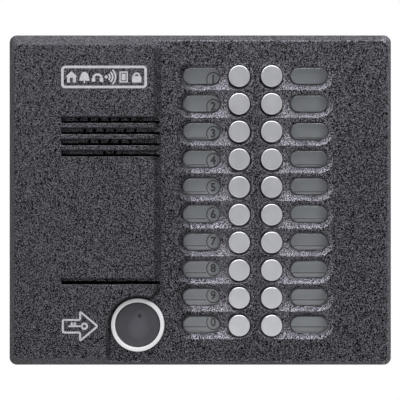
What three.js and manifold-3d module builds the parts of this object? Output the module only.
// Door intercom panel for a surface mount: a cast front housing on a steel wall plate, with
// twenty call buttons, two columns of name windows, a speaker, a microphone and a key reader.
//
// Millimetres. X points right, Z points up and the wall is the plane Y = 0. The panel faces -Y.
// "Depth" always means the distance from the wall towards the visitor, so Y = -depth.

import * as THREE from 'three';
import { mergeVertices } from 'three/addons/utils/BufferGeometryUtils.js';
import Module from 'manifold-3d';

// ---------------------------------------------------------------- driving dimensions

const PANEL = { width: 177.6, height: 153.4, cornerRadius: 3.4, wall: 2.6 };

const DEPTH = {
  housingBack: 1.0,
  rim: 30.5, // the side walls end here and the front bevel starts
  lowFace: 35, // keypad side
  highFace: 39.5, // raised speaker block
  keypadCeiling: 27.2, // inside faces of the casting, behind each part of the front
  marginCeiling: 32.4,
  speakerCeiling: 34,
};

// Width of the front bevel for each millimetre of depth, on each side of the panel. The top
// bevel is steeper past the keypad face, along the raised block.
const BEVEL = { top: 0.835, blockTop: 0.61, bottom: 0.56, left: 0.53, right: 0.62 };

// Raised block, at the raised face. Each wall spreads out by its flare for every millimetre down.
const BLOCK = {
  right: -20.9,
  top: 70.8,
  cornerRadius: 4.2,
  filletRadius: 3,
  ringClearance: 13.95,
  wallFlare: 0.69,
  ringFlare: 0.3,
};

const GAP = 0.3; // clearance between neighbouring pieces

const ROWS = 10;
const ROW_PITCH = 12.7;
const KEYPAD = { x: 25.3, z: -0.43 };

const TROUGH = { radius: 6.2, depth: 2.5, innerShift: 0.4, steps: 4 };

const BUTTON = {
  columnOffset: 7.43,
  radius: 4.95,
  holeRadius: 5.35,
  chamfer: 0.45,
  faceDepth: 35.8,
  flangeRadius: 5.95,
  flangeFront: 26.9,
  flangeBack: 25.8,
  stemRadius: 1.7,
  stemEnd: 23.7,
};

const WINDOW = { columnOffset: 24.7, length: 17.8, height: 8.3, lift: 0.23 };
const LENS = { width: 21.2, margin: 6.2, back: 25.4, plateFront: 26.9, bossFront: 34.9 };
const CARD = { width: 20.4, back: 24.8, front: 25.1, tabBelow: 2.3, tabAbove: 5.6, spine: 1.2 };
const BACKING = { width: 20.4, back: 23.3, front: 24.5 };

const SWITCH = { size: 6.2, top: 24, pocketRadius: 2.05, pocketFloor: 22.2 };
const GUIDE = { width: 26.6, back: 22.6, front: 24.3, windowSize: 7.2, footSize: 3 };
const BUTTON_BOARD = { left: -12, right: 63, halfHeight: 71.5, back: 19.4, front: 21 };
const MAIN_BOARD = { left: -22, right: 77, halfHeight: 41, back: 12, front: 13.6 };
const TERMINALS = {
  left: 30,
  bottom: 22,
  top: 31,
  poles: 6,
  polePitch: 5,
  back: 3.4,
  screwRadius: 1.7,
  wireHalfWidth: 1.5,
};

const GROOVE = {
  left: -62.6,
  right: -14,
  height: 2.5,
  floor: 36.7,
  drainHeight: 1,
  drainFloor: 34.8,
  drainRight: -18.5,
  topZ: 36.2,
  pitch: 5.05,
};
const SOUND_HOLES = { perGroove: [7, 6, 5, 2], pitch: 4.67, radius: 0.8, raise: 0.6 };
const MICROPHONE = {
  x: -42.4,
  z: -36.9,
  holeRadius: 0.7,
  radius: 4.9,
  back: 26.6,
  front: 32.2,
  bootRadius: 6.4,
  bootBack: 25.4,
};
const SPEAKER = { x: -41.3, z: 30, radius: 18.2, rimInner: 15.4, rimFront: 32.4, postOffset: 23 };
const BRACKET = { halfWidth: 5, reach: 27.5, back: 13.9, front: 15.4 };
const READER = {
  x: -28.6,
  z: -57.1,
  ringOuter: 12.15,
  ringInner: 10.35,
  ringFront: 36.7,
  ringChamfer: 0.3,
  discRadius: 10.05,
  discFront: 36.2,
  discStep: 32.5, // behind this the disc narrows to its threaded barrel
  barrelRadius: 8.5,
  barrelEnd: 24,
  bore: 11.3,
  nutRadius: 13,
  nut: [29.7, 32.1],
  coilRadius: 12,
  coil: [25.6, 29.3],
  boardRadius: 11,
  board: [22, 23.6],
};

const PLATE = { clearance: 1.0, thickness: 1.5, cornerRadius: 2 };
const HOOK = { x: 52, halfWidth: 8, ribBack: 5, ribFront: 8, lipFront: 9.9 };
const LOCK = { x: 45, depth: 8, headRadius: 3, shankRadius: 1.5, bossHeight: 1.2, recess: 0.3 };
const CABLE = { x: -58, z: -12, plateHole: 8, bore: 4 };
const WALL_HOLES = { x: 66, z: 52, radius: 2.6 };

const SEAT = 0.2; // how far a soldered part reaches into its board

const POST_RADIUS = 3;
const BOARD_SCREW = { headRadius: 2.6, headHeight: 1.6, shankRadius: 1.15, length: 5.2 };
const BUTTON_BOARD_POSTS = { x: [-6, 57], z: [-68.2, 68.2] };
const MAIN_BOARD_POSTS = { x: [-17.2, 72], z: [-36, 36] };

// ---------------------------------------------------------------- materials

const material = (color, roughness, metalness) =>
  new THREE.MeshStandardMaterial({ color, roughness, metalness });

const MATERIALS = {
  hammeredPaint: () => material(0x44434a, 0.55, 0.3),
  stainless: () => material(0xb4b5ba, 0.35, 0.9),
  platedSteel: () => material(0x9fa3a6, 0.45, 0.8),
  bezelMetal: () => material(0xd2d1d6, 0.25, 0.9),
  clearPlastic: () => material(0xb8c4c4, 0.1, 0),
  card: () => material(0xc9cdcb, 0.8, 0),
  whitePlastic: () => material(0xc4c6c6, 0.6, 0),
  blackPlastic: () => material(0x2a2a2c, 0.6, 0),
  readerPlastic: () => material(0x4d4c52, 0.5, 0),
  circuitBoard: () => material(0x1e4a33, 0.5, 0),
  rubber: () => material(0x1c1c1d, 0.9, 0),
  foam: () => material(0x2c2c2e, 1, 0),
  paperCone: () => material(0x35322f, 0.9, 0),
  magnet: () => material(0x3a3b3d, 0.7, 0.2),
  copper: () => material(0xa65a2e, 0.4, 0.9),
  terminalPlastic: () => material(0x2f6d4a, 0.5, 0),
};

// ---------------------------------------------------------------- geometry helpers

const wasm = await Module();
wasm.setup();

const WELD_DISTANCE = 1e-4;

function solidOf(geometry) {
  const bare = geometry.clone();
  bare.deleteAttribute('normal');
  bare.deleteAttribute('uv');
  const welded = mergeVertices(bare, WELD_DISTANCE);
  const vertProperties = new Float32Array(welded.attributes.position.array);
  const triVerts = new Uint32Array(welded.index.array);
  return new wasm.Manifold(new wasm.Mesh({ numProp: 3, vertProperties, triVerts }));
}

function geometryOf(solid) {
  const result = solid.getMesh();
  const geometry = new THREE.BufferGeometry();
  geometry.setAttribute('position', new THREE.BufferAttribute(result.vertProperties, 3));
  geometry.setIndex(new THREE.BufferAttribute(result.triVerts, 1));
  const flat = geometry.toNonIndexed();
  flat.computeVertexNormals();
  return flat;
}

function join(geometries) {
  return geometryOf(geometries.map(solidOf).reduce((sum, next) => sum.add(next)));
}

function cut(base, tools) {
  return geometryOf(tools.map(solidOf).reduce((rest, tool) => rest.subtract(tool), solidOf(base)));
}

// Box between two corners, given as X range, Z range and depth range.
function block([x0, x1], [z0, z1], [back, front]) {
  const box = new THREE.BoxGeometry(x1 - x0, front - back, z1 - z0);
  return box.translate((x0 + x1) / 2, -(back + front) / 2, (z0 + z1) / 2);
}

// Outline in the front plane (x, z), carried straight from one depth to another.
function prism(shape, back, front, curveSegments = 12) {
  const options = { depth: front - back, bevelEnabled: false, curveSegments };
  const body = new THREE.ExtrudeGeometry(shape, options);
  return body.rotateX(Math.PI / 2).translate(0, -back, 0);
}

// Body turned about an axis square to the wall. The profile is [radius, depth] pairs from the
// front to the back.
function turned(profile, segments) {
  const points = profile.map(([radius, depth]) => new THREE.Vector2(radius, -depth));
  return new THREE.LatheGeometry(points, segments);
}

function rod(radius, back, front, segments = 12) {
  return turned([[0, front], [radius, front], [radius, back], [0, back]], segments);
}

function tube(inner, outer, back, front, segments = 32) {
  const profile = [[inner, front], [outer, front], [outer, back], [inner, back], [inner, front]];
  return turned(profile, segments);
}

function moved(geometry, x, z) {
  return geometry.clone().translate(x, 0, z);
}

function roundedRectangle(left, right, bottom, top, radius) {
  const shape = new THREE.Shape();
  shape.absarc(right - radius, top - radius, radius, 0, Math.PI / 2);
  shape.absarc(left + radius, top - radius, radius, Math.PI / 2, Math.PI);
  shape.absarc(left + radius, bottom + radius, radius, Math.PI, 1.5 * Math.PI);
  shape.absarc(right - radius, bottom + radius, radius, 1.5 * Math.PI, 2 * Math.PI);
  return shape;
}

// Slot with round ends. left and right are the centres of the two ends.
function slot(left, right, z, radius) {
  const shape = new THREE.Shape();
  shape.absarc(right, z, radius, -Math.PI / 2, Math.PI / 2);
  shape.absarc(left, z, radius, Math.PI / 2, 1.5 * Math.PI);
  return shape;
}

// Points round an outline, without the doubled ones where two curves meet.
function ringPoints(shape, curveSegments) {
  const points = shape.getPoints(curveSegments);
  return points.filter((point, i) => point.distanceTo(points.at(i - 1)) > WELD_DISTANCE);
}

// Closed body through two or more outlines at rising depths. Every outline must have the same
// number of points, running anticlockwise as the visitor sees them.
function loft(sections, curveSegments) {
  const rings = sections.map(({ shape }) => ringPoints(shape, curveSegments));
  const count = rings[0].length;
  const positions = rings.flatMap((ring, level) =>
    ring.flatMap((point) => [point.x, -sections[level].depth, point.y]),
  );
  const indices = [];
  for (let level = 0; level + 1 < rings.length; level += 1) {
    for (let i = 0; i < count; i += 1) {
      const next = (i + 1) % count;
      const [a, b] = [level * count + i, level * count + next];
      const [c, d] = [a + count, b + count];
      indices.push(a, b, c, b, d, c);
    }
  }
  const lastRing = (rings.length - 1) * count;
  const backFaces = THREE.ShapeUtils.triangulateShape(rings[0], []);
  backFaces.forEach(([a, b, c]) => indices.push(a, c, b));
  const frontFaces = THREE.ShapeUtils.triangulateShape(rings.at(-1), []);
  frontFaces.forEach(([a, b, c]) => indices.push(lastRing + a, lastRing + b, lastRing + c));
  const geometry = new THREE.BufferGeometry();
  geometry.setAttribute('position', new THREE.Float32BufferAttribute(positions, 3));
  geometry.setIndex(indices);
  return geometry;
}

// ---------------------------------------------------------------- places on the panel

const SIDES = [-1, 1];
const sideName = (side) => (side < 0 ? 'left' : 'right');
const rowIndexes = [...Array(ROWS).keys()];
const rowZ = (row) => KEYPAD.z + ((ROWS - 1) / 2 - row) * ROW_PITCH;
const buttonX = (side) => KEYPAD.x + side * BUTTON.columnOffset;
const windowX = (side) => KEYPAD.x + side * WINDOW.columnOffset;
const windowZ = (row) => rowZ(row) + WINDOW.lift;
const keypadCells = SIDES.flatMap((side) => rowIndexes.map((row) => ({ side, row })));
const corners = (places) => places.x.flatMap((x) => places.z.map((z) => ({ x, z })));

// ---------------------------------------------------------------- front housing

// Outline of the whole panel at one depth, drawn in by the bevel in front of the rim.
function panelOutline(depth) {
  const forward = Math.max(0, depth - DEPTH.rim);
  const pastLowFace = Math.max(0, depth - DEPTH.lowFace);
  const topInset = BEVEL.top * (forward - pastLowFace) + BEVEL.blockTop * pastLowFace;
  return roundedRectangle(
    -PANEL.width / 2 + BEVEL.left * forward,
    PANEL.width / 2 - BEVEL.right * forward,
    -PANEL.height / 2 + BEVEL.bottom * forward,
    PANEL.height / 2 - topInset,
    PANEL.cornerRadius,
  );
}

function panelBody() {
  const depths = [DEPTH.housingBack, DEPTH.rim, DEPTH.lowFace, DEPTH.highFace];
  return loft(depths.map((depth) => ({ shape: panelOutline(depth), depth })), 5);
}

// Outline of the raised block. It runs past the panel on the left and at the bottom, and its
// lower right side follows the reader ring.
function blockOutline(depth) {
  const down = DEPTH.highFace - depth;
  const outside = PANEL.width;
  const right = BLOCK.right + BLOCK.wallFlare * down;
  const top = BLOCK.top + BEVEL.blockTop * down;
  const corner = BLOCK.cornerRadius + BLOCK.wallFlare * down;
  const fillet = BLOCK.filletRadius + BLOCK.wallFlare * down;
  const ring = BLOCK.ringClearance - BLOCK.ringFlare * down;
  const filletX = right - fillet;
  const filletAngle = Math.acos((filletX - READER.x) / (ring + fillet));
  const filletZ = READER.z + (ring + fillet) * Math.sin(filletAngle);
  const shape = new THREE.Shape();
  shape.moveTo(READER.x - ring, -outside);
  shape.lineTo(READER.x - ring, READER.z);
  shape.absarc(READER.x, READER.z, ring, Math.PI, filletAngle, true);
  shape.absarc(filletX, filletZ, fillet, filletAngle - Math.PI, 0);
  shape.absarc(right - corner, top - corner, corner, 0, Math.PI / 2);
  shape.lineTo(-outside, top);
  shape.lineTo(-outside, -outside);
  return shape;
}

// Everything in front of the keypad face and outside the raised block.
function lowSideCut() {
  const depths = [DEPTH.lowFace - 1, DEPTH.highFace + 1];
  const raised = loft(depths.map((depth) => ({ shape: blockOutline(depth), depth })), 8);
  const reach = PANEL.width;
  const slab = block([-reach, reach], [-reach, reach], [DEPTH.lowFace, DEPTH.highFace + 0.5]);
  return cut(slab, [raised]);
}

// Deeper pockets behind the parts of the front that stand further out.
const POCKETS = [
  { x: [-84, -20.4], z: [-41.5, 66], ceiling: DEPTH.speakerCeiling },
  { x: [-84, -46], z: [-70.5, -41], ceiling: DEPTH.speakerCeiling },
  { x: [-51, -36], z: [-44, -41], ceiling: DEPTH.speakerCeiling },
  { x: [-42, -14.8], z: [-71, -44.6], ceiling: DEPTH.marginCeiling },
  { x: [64.5, 84.5], z: [-71, 69], ceiling: DEPTH.marginCeiling },
];

function housingHollows() {
  const insideX = PANEL.width / 2 - PANEL.wall;
  const insideZ = PANEL.height / 2 - PANEL.wall;
  const across = roundedRectangle(-insideX, insideX, -insideZ, insideZ, 1.2);
  const start = DEPTH.keypadCeiling - 1;
  const pockets = POCKETS.map(({ x, z, ceiling }) => block(x, z, [start, ceiling]));
  return [prism(across, 0, DEPTH.keypadCeiling, 2), ...pockets];
}

// Scooped trough round one window and one button. Its cross-section is an arc of a circle, and
// the last section stands clear of the face.
function trough({ side, row }) {
  const outerEnd = windowX(side) + (side * (WINDOW.length - WINDOW.height)) / 2;
  const innerEnd = buttonX(side) - side * TROUGH.innerShift;
  const [left, right] = [Math.min(outerEnd, innerEnd), Math.max(outerEnd, innerEnd)];
  const arcRadius = (TROUGH.radius ** 2 + TROUGH.depth ** 2) / (2 * TROUGH.depth);
  const lipAngle = Math.asin(TROUGH.radius / arcRadius);
  const sections = [...Array(TROUGH.steps + 1).keys()].map((step) => {
    const angle = (lipAngle * (step + 1)) / TROUGH.steps;
    return {
      shape: slot(left, right, rowZ(row), arcRadius * Math.sin(angle)),
      depth: DEPTH.lowFace - TROUGH.depth + arcRadius * (1 - Math.cos(angle)),
    };
  });
  return loft(sections, 4);
}

function windowOutline(side, row, gap) {
  const radius = WINDOW.height / 2 - gap;
  const reach = (WINDOW.length - WINDOW.height) / 2;
  return slot(windowX(side) - reach, windowX(side) + reach, windowZ(row), radius);
}

function keypadCuts() {
  const back = DEPTH.keypadCeiling - 1;
  return keypadCells.flatMap((cell) => [
    trough(cell),
    prism(windowOutline(cell.side, cell.row, 0), back, DEPTH.lowFace, 5),
    moved(rod(BUTTON.holeRadius, back, DEPTH.highFace, 20), buttonX(cell.side), rowZ(cell.row)),
  ]);
}

// A groove open to the right, with a narrow drain channel along its lower side.
function groove(z) {
  const { left, right, height, floor, drainHeight, drainFloor, drainRight } = GROOVE;
  const [bottom, top] = [z - height / 2, z + height / 2];
  const front = DEPTH.highFace + 1;
  return join([
    block([left, right], [bottom, top], [floor, front]),
    block([left, drainRight], [bottom, bottom + drainHeight], [drainFloor, front]),
  ]);
}

function soundCuts() {
  const through = [DEPTH.speakerCeiling - 1, DEPTH.highFace];
  const grooves = SOUND_HOLES.perGroove.flatMap((holes, index) => {
    const z = GROOVE.topZ - index * GROOVE.pitch;
    const drilled = [...Array(holes).keys()].map((hole) => {
      const x = SPEAKER.x + (hole - (holes - 1) / 2) * SOUND_HOLES.pitch;
      return moved(rod(SOUND_HOLES.radius, ...through, 8), x, z + SOUND_HOLES.raise);
    });
    return [groove(z), ...drilled];
  });
  const microphoneHole = rod(MICROPHONE.holeRadius, ...through, 8);
  return [
    ...grooves,
    groove(MICROPHONE.z),
    moved(microphoneHole, MICROPHONE.x, MICROPHONE.z + SOUND_HOLES.raise),
  ];
}

// Posts that the boards and the speaker bracket are screwed to.
function housingPosts() {
  const buttonPost = rod(POST_RADIUS, BUTTON_BOARD.front + GAP, DEPTH.keypadCeiling + 0.5);
  const mainPost = rod(POST_RADIUS, MAIN_BOARD.front + GAP, DEPTH.marginCeiling + 0.5);
  const speakerPost = rod(POST_RADIUS, BRACKET.front + GAP, DEPTH.speakerCeiling + 0.5);
  return [
    ...corners(BUTTON_BOARD_POSTS).map(({ x, z }) => moved(buttonPost, x, z)),
    ...corners(MAIN_BOARD_POSTS).map(({ x, z }) => moved(mainPost, x, z)),
    ...SIDES.map((side) => moved(speakerPost, SPEAKER.x, SPEAKER.z + side * SPEAKER.postOffset)),
  ];
}

function postHoles() {
  const pilotRadius = BOARD_SCREW.shankRadius + GAP;
  const pilot = (seat) => rod(pilotRadius, seat - 1, seat + BOARD_SCREW.length, 10);
  const buttonPilot = pilot(BUTTON_BOARD.front);
  const mainPilot = pilot(MAIN_BOARD.front);
  const speakerPilot = pilot(BRACKET.front);
  return [
    ...corners(BUTTON_BOARD_POSTS).map(({ x, z }) => moved(buttonPilot, x, z)),
    ...corners(MAIN_BOARD_POSTS).map(({ x, z }) => moved(mainPilot, x, z)),
    ...SIDES.map((side) => moved(speakerPilot, SPEAKER.x, SPEAKER.z + side * SPEAKER.postOffset)),
  ];
}

// Ledge that hangs on the wall plate's hooks, and bosses for the two lock screws.
function hangingParts() {
  const insideZ = PANEL.height / 2 - PANEL.wall;
  const ribHalfWidth = HOOK.x + HOOK.halfWidth + 2;
  const rib = block(
    [-ribHalfWidth, ribHalfWidth],
    [insideZ - 1.6, insideZ + 0.5],
    [HOOK.ribBack, HOOK.ribFront],
  );
  const bosses = SIDES.map((side) =>
    block(
      [side * LOCK.x - 5, side * LOCK.x + 5],
      [-insideZ - 0.5, -insideZ + LOCK.bossHeight],
      [LOCK.depth - 4, LOCK.depth + 4],
    ),
  );
  return [rib, ...bosses];
}

// Upright cylinder, for the holes and screws in the bottom wall.
function uprightRod(radius, x, depth, [z0, z1], segments = 20) {
  const body = new THREE.CylinderGeometry(radius, radius, z1 - z0, segments);
  return body.rotateX(Math.PI / 2).translate(x, -depth, (z0 + z1) / 2);
}

function lockHoles() {
  const bottom = -PANEL.height / 2;
  return SIDES.flatMap((side) => [
    uprightRod(LOCK.headRadius + GAP, side * LOCK.x, LOCK.depth, [bottom - 1, bottom + 2.1]),
    uprightRod(LOCK.shankRadius + GAP, side * LOCK.x, LOCK.depth, [bottom, bottom + 5]),
  ]);
}

function frontHousing() {
  const bore = rod(READER.bore, DEPTH.keypadCeiling - 1, DEPTH.highFace, 36);
  const readerHole = moved(bore, READER.x, READER.z);
  const casting = cut(panelBody(), [lowSideCut()]);
  const shell = cut(casting, housingHollows());
  const fitted = join([shell, ...housingPosts(), ...hangingParts()]);
  const cuts = [...keypadCuts(), ...soundCuts(), ...postHoles(), ...lockHoles(), readerHole];
  return cut(fitted, cuts);
}

// ---------------------------------------------------------------- wall side

function wallGasket() {
  const inset = 0.4;
  const stripWidth = 1.9;
  const halfWidth = PANEL.width / 2 - inset;
  const halfHeight = PANEL.height / 2 - inset;
  const outer = roundedRectangle(-halfWidth, halfWidth, -halfHeight, halfHeight, 3);
  const inner = roundedRectangle(
    -halfWidth + stripWidth,
    halfWidth - stripWidth,
    -halfHeight + stripWidth,
    halfHeight - stripWidth,
    1.1,
  );
  outer.holes.push(inner);
  return prism(outer, 0, DEPTH.housingBack - GAP, 4);
}

function rearMountingPlate() {
  const halfWidth = PANEL.width / 2 - PANEL.wall - PLATE.clearance;
  const halfHeight = PANEL.height / 2 - PANEL.wall - PLATE.clearance;
  const outline = roundedRectangle(
    -halfWidth,
    halfWidth,
    -halfHeight,
    halfHeight,
    PLATE.cornerRadius,
  );
  const sheet = [0, PLATE.thickness];
  const hookTop = PANEL.height / 2 - PANEL.wall - 1.9;
  const hooks = SIDES.flatMap((side) => {
    const across = [side * HOOK.x - HOOK.halfWidth, side * HOOK.x + HOOK.halfWidth];
    return [
      block(across, [hookTop - PLATE.thickness, hookTop], [0, HOOK.lipFront]),
      block(across, [hookTop - 0.5, hookTop + 1.5], [HOOK.ribFront + GAP, HOOK.lipFront]),
    ];
  });
  const tabTop = -PANEL.height / 2 + PANEL.wall + LOCK.bossHeight + GAP + PLATE.thickness;
  const tabs = SIDES.map((side) =>
    block([side * LOCK.x - 7, side * LOCK.x + 7], [tabTop - PLATE.thickness, tabTop], [0, 13]),
  );
  const tabHoles = SIDES.map((side) =>
    uprightRod(LOCK.shankRadius + GAP, side * LOCK.x, LOCK.depth, [tabTop - 3, tabTop + 1]),
  );
  const wallHole = rod(WALL_HOLES.radius, -1, 3, 20);
  const wallHoles = SIDES.flatMap((right) =>
    SIDES.map((up) => moved(wallHole, right * WALL_HOLES.x, up * WALL_HOLES.z)),
  );
  const cableHole = moved(rod(CABLE.plateHole, -1, 3, 32), CABLE.x, CABLE.z);
  const body = join([prism(outline, ...sheet, 4), ...hooks, ...tabs]);
  return cut(body, [...tabHoles, ...wallHoles, cableHole]);
}

function cableGrommet() {
  const bush = CABLE.plateHole - GAP;
  const collar = CABLE.plateHole + 2;
  const collarFront = 3.3;
  const edge = 0.4;
  const bushBack = 0.2;
  const profile = [
    [CABLE.bore, collarFront],
    [collar - edge, collarFront],
    [collar, collarFront - edge],
    [collar, PLATE.thickness + GAP],
    [bush, PLATE.thickness + GAP],
    [bush, bushBack],
    [CABLE.bore, bushBack],
    [CABLE.bore, collarFront],
  ];
  return turned(profile, 18);
}

// Lock screw with a hexagon socket, pointing up into the wall plate's tab.
function securityScrew() {
  const headHeight = 1.6;
  const shankEnd = 6.6;
  const socketRadius = 1.4;
  const socketDepth = 0.9;
  const head = uprightRod(LOCK.headRadius, 0, 0, [0, headHeight], 24);
  const shank = uprightRod(LOCK.shankRadius, 0, 0, [headHeight - 0.3, shankEnd], 16);
  const socket = uprightRod(socketRadius, 0, 0, [-1, socketDepth], 6);
  return cut(join([head, shank]), [socket]);
}

// ---------------------------------------------------------------- keypad

function callButton() {
  const profile = [
    [0, BUTTON.faceDepth],
    [BUTTON.radius - BUTTON.chamfer, BUTTON.faceDepth],
    [BUTTON.radius, BUTTON.faceDepth - BUTTON.chamfer],
    [BUTTON.radius, BUTTON.flangeFront],
    [BUTTON.flangeRadius, BUTTON.flangeFront],
    [BUTTON.flangeRadius, BUTTON.flangeBack],
    [BUTTON.stemRadius, BUTTON.flangeBack],
    [BUTTON.stemRadius, BUTTON.stemEnd],
    [0, BUTTON.stemEnd],
  ];
  return turned(profile, 16);
}

// Clear strip with one window boss for each row of a column.
function labelWindow(side) {
  const [left, right] = [windowX(side) - LENS.width / 2, windowX(side) + LENS.width / 2];
  const ends = [windowZ(ROWS - 1) - LENS.margin, windowZ(0) + LENS.margin];
  const strip = block([left, right], ends, [LENS.back, LENS.plateFront]);
  const bosses = rowIndexes.map((row) =>
    prism(windowOutline(side, row, GAP), LENS.plateFront - 0.5, LENS.bossFront, 4),
  );
  return join([strip, ...bosses]);
}

// Card cut as a comb, with its spine on the outer side and one tab behind each window.
function labelCard(side) {
  const outer = windowX(side) + (side * CARD.width) / 2;
  const [left, right] = [windowX(side) - CARD.width / 2, windowX(side) + CARD.width / 2];
  const depths = [CARD.back, CARD.front];
  const low = windowZ(ROWS - 1) - CARD.tabBelow;
  const high = windowZ(0) + CARD.tabAbove;
  const spineEnds = [outer, outer - side * CARD.spine].sort((a, b) => a - b);
  const spine = block(spineEnds, [low, high], depths);
  const tabs = rowIndexes.map((row) =>
    block(
      [left, right],
      [windowZ(row) - CARD.tabBelow, windowZ(row) + CARD.tabAbove],
      depths,
    ),
  );
  return join([spine, ...tabs]);
}

// Light strip behind a card.
function labelBacking(side) {
  const x = windowX(side);
  const ends = [windowZ(ROWS - 1) - LENS.margin, windowZ(0) + LENS.margin];
  const across = [x - BACKING.width / 2, x + BACKING.width / 2];
  return block(across, ends, [BACKING.back, BACKING.front]);
}

// Moulded plate that keeps the button flanges in line in front of their switches.
function buttonGuide() {
  const halfWidth = GUIDE.width / 2;
  const halfHeight = (ROWS * ROW_PITCH) / 2 + 0.5;
  const left = KEYPAD.x - halfWidth;
  const right = KEYPAD.x + halfWidth;
  const bottom = KEYPAD.z - halfHeight;
  const top = KEYPAD.z + halfHeight;
  const plate = block([left, right], [bottom, top], [GUIDE.back, GUIDE.front]);
  const footDepths = [BUTTON_BOARD.front + GAP, GUIDE.front];
  const feet = [bottom, top - GUIDE.footSize].flatMap((z) =>
    [left, right - GUIDE.footSize].map((x) =>
      block([x, x + GUIDE.footSize], [z, z + GUIDE.footSize], footDepths),
    ),
  );
  const half = GUIDE.windowSize / 2;
  const windows = keypadCells.map(({ side, row }) => {
    const [x, z] = [buttonX(side), rowZ(row)];
    return block([x - half, x + half], [z - half, z + half], [GUIDE.back - 1, GUIDE.front + 1]);
  });
  return cut(join([plate, ...feet]), windows);
}

function screwClearance(places, back, front) {
  const hole = rod(BOARD_SCREW.shankRadius + GAP, back - 1, front + 1, 10);
  return corners(places).map(({ x, z }) => moved(hole, x, z));
}

// Circuit board with one tact switch under each button.
function buttonBoard() {
  const { left, right, halfHeight, back, front } = BUTTON_BOARD;
  const board = block([left, right], [-halfHeight, halfHeight], [back, front]);
  const half = SWITCH.size / 2;
  const switches = keypadCells.map(({ side, row }) => {
    const [x, z] = [buttonX(side), rowZ(row)];
    return block([x - half, x + half], [z - half, z + half], [front - SEAT, SWITCH.top]);
  });
  const pocket = rod(SWITCH.pocketRadius, SWITCH.pocketFloor, SWITCH.top + 1, 10);
  const pockets = keypadCells.map(({ side, row }) => moved(pocket, buttonX(side), rowZ(row)));
  const clearance = screwClearance(BUTTON_BOARD_POSTS, back, front);
  return cut(join([board, ...switches]), [...pockets, ...clearance]);
}

// Circuit board with its processor, relay, coils and capacitors on the visitor's side.
function mainBoard() {
  const { left, right, halfHeight, back, front } = MAIN_BOARD;
  const seat = front - SEAT;
  const board = block([left, right], [-halfHeight, halfHeight], [back, front]);
  const processor = block([44, 56], [8, 20], [seat, 15.2]);
  const relay = block([-12, 4], [-30, -20], [seat, 18.8]);
  const amplifier = block([-14, -4], [10, 20], [seat, 15.4]);
  const capacitor = rod(4, seat, 18.6, 20);
  const capacitors = [-34, -24].map((z) => moved(capacitor, 60, z));
  const parts = [board, processor, relay, amplifier, ...capacitors];
  return cut(join(parts), screwClearance(MAIN_BOARD_POSTS, back, front));
}

function boardConnector() {
  const back = MAIN_BOARD.front + GAP;
  const front = BUTTON_BOARD.back - GAP;
  const body = block([14, 37], [-6, -1], [back, front]);
  const keyway = block([23, 28], [-7, -5], [back + 1.5, front + 1]);
  return cut(body, [keyway]);
}

// Screw terminals for the installer's wires, on the wall side of the main board.
function terminalBlock() {
  const { left, bottom, top, poles, polePitch, back, screwRadius, wireHalfWidth } = TERMINALS;
  const front = MAIN_BOARD.back - GAP;
  const body = block([left, left + poles * polePitch], [bottom, top], [back, front]);
  const cuts = [...Array(poles).keys()].flatMap((pole) => {
    const x = left + (pole + 0.5) * polePitch;
    const across = [x - wireHalfWidth, x + wireHalfWidth];
    return [
      moved(rod(screwRadius, back - 1, back + 2, 12), x, top - 3.5),
      block(across, [bottom - 1, bottom + 3], [front - 5, front - 2]),
    ];
  });
  return cut(body, cuts);
}

function boardScrew() {
  const { headRadius, headHeight, shankRadius, length } = BOARD_SCREW;
  const profile = [
    [0, length],
    [shankRadius, length],
    [shankRadius, -GAP],
    [headRadius, -GAP],
    [headRadius, -headHeight],
    [0, -headHeight],
  ];
  return turned(profile, 8);
}

// ---------------------------------------------------------------- speaker and microphone

function speakerGasket() {
  const inner = SPEAKER.rimInner + 0.4;
  return tube(inner, SPEAKER.radius, SPEAKER.rimFront + GAP, DEPTH.speakerCeiling - GAP, 20);
}

// Pressed steel basket: a flat rim, a sloping wall and a ring that sits on the magnet.
function speakerBasket() {
  const { radius, rimInner, rimFront } = SPEAKER;
  const rimBack = rimFront - 1.2;
  const seat = [23.8, 24.8];
  const seatInner = 6.5;
  const seatOuter = 11.5;
  const wall = 0.9;
  const profile = [
    [rimInner, rimFront],
    [radius, rimFront],
    [radius, rimBack],
    [rimInner + 0.6, rimBack],
    [seatOuter, seat[1]],
    [seatOuter, seat[0]],
    [seatInner, seat[0]],
    [seatInner, seat[1]],
    [seatOuter - wall, seat[1]],
    [rimInner, rimBack + 0.2],
    [rimInner, rimFront],
  ];
  return turned(profile, 20);
}

// Paper cone with its dust cap in front and the voice coil former behind.
function speakerCone() {
  const profile = [
    [0, 30.4],
    [5.5, 29.2],
    [13.6, 32.2],
    [15, 32.2],
    [15, 31.8],
    [13.7, 31.7],
    [5.6, 28.2],
    [5.6, 25.6],
    [0, 25.6],
  ];
  return turned(profile, 16);
}

// Front pole plate with the wider magnet behind it.
const speakerMagnet = () =>
  turned([[0, 23.5], [11, 23.5], [11, 20], [14, 20], [14, 15.8], [0, 15.8]], 16);

// Steel strap across the magnet, screwed to the two speaker posts.
function speakerBracket() {
  const strap = block(
    [SPEAKER.x - BRACKET.halfWidth, SPEAKER.x + BRACKET.halfWidth],
    [SPEAKER.z - BRACKET.reach, SPEAKER.z + BRACKET.reach],
    [BRACKET.back, BRACKET.front],
  );
  const hole = rod(BOARD_SCREW.shankRadius + GAP, BRACKET.back - 1, BRACKET.front + 1, 12);
  const holes = SIDES.map((side) =>
    moved(hole, SPEAKER.x, SPEAKER.z + side * SPEAKER.postOffset),
  );
  return cut(strap, holes);
}

const microphoneCapsule = () =>
  rod(MICROPHONE.radius, MICROPHONE.back, MICROPHONE.front, 20);

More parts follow.
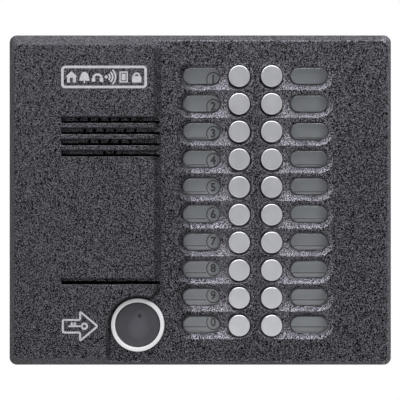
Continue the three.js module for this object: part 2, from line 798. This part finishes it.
function microphoneBoot() {
  const outer = MICROPHONE.bootRadius;
  const inner = MICROPHONE.radius + GAP;
  const front = DEPTH.speakerCeiling - GAP;
  const shoulder = MICROPHONE.front + 0.4;
  const soundHole = 1;
  const profile = [
    [soundHole, front],
    [outer, front],
    [outer, MICROPHONE.bootBack],
    [inner, MICROPHONE.bootBack],
    [inner, shoulder],
    [soundHole, shoulder],
    [soundHole, front],
  ];
  return turned(profile, 28);
}

// ---------------------------------------------------------------- key reader

function readerRing() {
  const { ringOuter, ringInner, ringFront, ringChamfer } = READER;
  const neck = READER.bore - GAP;
  const neckEnd = READER.discStep + 0.1;
  const profile = [
    [ringInner, ringFront - ringChamfer],
    [ringInner + ringChamfer, ringFront],
    [ringOuter - 2 * ringChamfer, ringFront],
    [ringOuter - ringChamfer / 2, ringFront - ringChamfer],
    [ringOuter, ringFront - 2.5 * ringChamfer],
    [ringOuter, DEPTH.lowFace + GAP],
    [neck, DEPTH.lowFace + GAP],
    [neck, neckEnd],
    [ringInner, neckEnd],
    [ringInner, ringFront - ringChamfer],
  ];
  return turned(profile, 32);
}

function readerDisc() {
  const { discRadius, discFront, discStep, barrelRadius, barrelEnd, ringChamfer } = READER;
  const profile = [
    [0, discFront],
    [discRadius - ringChamfer, discFront],
    [discRadius, discFront - ringChamfer],
    [discRadius, discStep],
    [barrelRadius, discStep],
    [barrelRadius, barrelEnd],
    [0, barrelEnd],
  ];
  return turned(profile, 28);
}

function readerNut() {
  const outline = new THREE.Shape();
  for (let corner = 0; corner < 6; corner += 1) {
    const angle = (corner * Math.PI) / 3;
    const point = [READER.nutRadius * Math.cos(angle), READER.nutRadius * Math.sin(angle)];
    if (corner === 0) outline.moveTo(...point);
    else outline.lineTo(...point);
  }
  const hole = new THREE.Path();
  hole.absarc(0, 0, READER.barrelRadius + GAP, 0, 2 * Math.PI);
  outline.holes.push(hole);
  return prism(outline, ...READER.nut, 16);
}

const readerCoil = () =>
  tube(READER.barrelRadius + 0.4, READER.coilRadius, ...READER.coil, 20);

const readerBoard = () => rod(READER.boardRadius, ...READER.board, 24);

// ---------------------------------------------------------------- assembly

const panel = new THREE.Group();
panel.name = 'door_intercom_panel';

function add(name, geometry, meshMaterial, x = 0, z = 0, depth = 0, parent = panel) {
  const mesh = new THREE.Mesh(geometry, meshMaterial);
  mesh.name = name;
  mesh.position.set(x, -depth, z);
  parent.add(mesh);
}

add('front_housing', frontHousing(), MATERIALS.hammeredPaint());
add('wall_gasket', wallGasket(), MATERIALS.foam());
add('rear_mounting_plate', rearMountingPlate(), MATERIALS.platedSteel());
add('cable_grommet', cableGrommet(), MATERIALS.rubber(), CABLE.x, CABLE.z);
SIDES.forEach((side) => {
  const name = `security_screw_${sideName(side)}`;
  const headZ = -PANEL.height / 2 + LOCK.recess;
  add(name, securityScrew(), MATERIALS.stainless(), side * LOCK.x, headZ, LOCK.depth);
});

const keypad = new THREE.Group();
keypad.name = 'keypad';
panel.add(keypad);
keypadCells.forEach(({ side, row }) => {
  const name = `button_${sideName(side)}_${row + 1}`;
  add(name, callButton(), MATERIALS.stainless(), buttonX(side), rowZ(row), 0, keypad);
});
SIDES.forEach((side) => {
  const name = `label_window_${sideName(side)}`;
  add(name, labelWindow(side), MATERIALS.clearPlastic(), 0, 0, 0, keypad);
});
SIDES.forEach((side) => {
  add(`label_card_${sideName(side)}`, labelCard(side), MATERIALS.card(), 0, 0, 0, keypad);
  const backing = `label_backing_${sideName(side)}`;
  add(backing, labelBacking(side), MATERIALS.whitePlastic(), 0, 0, 0, keypad);
});
add('button_guide', buttonGuide(), MATERIALS.blackPlastic(), 0, 0, 0, keypad);
add('button_board', buttonBoard(), MATERIALS.circuitBoard(), 0, 0, 0, keypad);

add('main_board', mainBoard(), MATERIALS.circuitBoard());
add('board_connector', boardConnector(), MATERIALS.blackPlastic());
add('terminal_block', terminalBlock(), MATERIALS.terminalPlastic());
corners(BUTTON_BOARD_POSTS).forEach(({ x, z }, index) => {
  const name = `button_board_screw_${index + 1}`;
  add(name, boardScrew(), MATERIALS.platedSteel(), x, z, BUTTON_BOARD.back);
});
corners(MAIN_BOARD_POSTS).forEach(({ x, z }, index) => {
  const name = `main_board_screw_${index + 1}`;
  add(name, boardScrew(), MATERIALS.platedSteel(), x, z, MAIN_BOARD.back);
});

const speaker = new THREE.Group();
speaker.name = 'speaker';
speaker.position.set(SPEAKER.x, 0, SPEAKER.z);
panel.add(speaker);
add('speaker_gasket', speakerGasket(), MATERIALS.foam(), 0, 0, 0, speaker);
add('speaker_basket', speakerBasket(), MATERIALS.platedSteel(), 0, 0, 0, speaker);
add('speaker_cone', speakerCone(), MATERIALS.paperCone(), 0, 0, 0, speaker);
add('speaker_magnet', speakerMagnet(), MATERIALS.magnet(), 0, 0, 0, speaker);
add('speaker_bracket', speakerBracket(), MATERIALS.platedSteel());
SIDES.forEach((side, index) => {
  const name = `speaker_bracket_screw_${index + 1}`;
  const z = SPEAKER.z + side * SPEAKER.postOffset;
  add(name, boardScrew(), MATERIALS.platedSteel(), SPEAKER.x, z, BRACKET.back);
});

const microphone = new THREE.Group();
microphone.name = 'microphone';
microphone.position.set(MICROPHONE.x, 0, MICROPHONE.z);
panel.add(microphone);
add('microphone_capsule', microphoneCapsule(), MATERIALS.platedSteel(), 0, 0, 0, microphone);
add('microphone_boot', microphoneBoot(), MATERIALS.rubber(), 0, 0, 0, microphone);

const reader = new THREE.Group();
reader.name = 'key_reader';
reader.position.set(READER.x, 0, READER.z);
panel.add(reader);
add('reader_ring', readerRing(), MATERIALS.bezelMetal(), 0, 0, 0, reader);
add('reader_disc', readerDisc(), MATERIALS.readerPlastic(), 0, 0, 0, reader);
add('reader_nut', readerNut(), MATERIALS.blackPlastic(), 0, 0, 0, reader);
add('reader_coil', readerCoil(), MATERIALS.copper(), 0, 0, 0, reader);
add('reader_board', readerBoard(), MATERIALS.circuitBoard(), 0, 0, 0, reader);

export default panel;
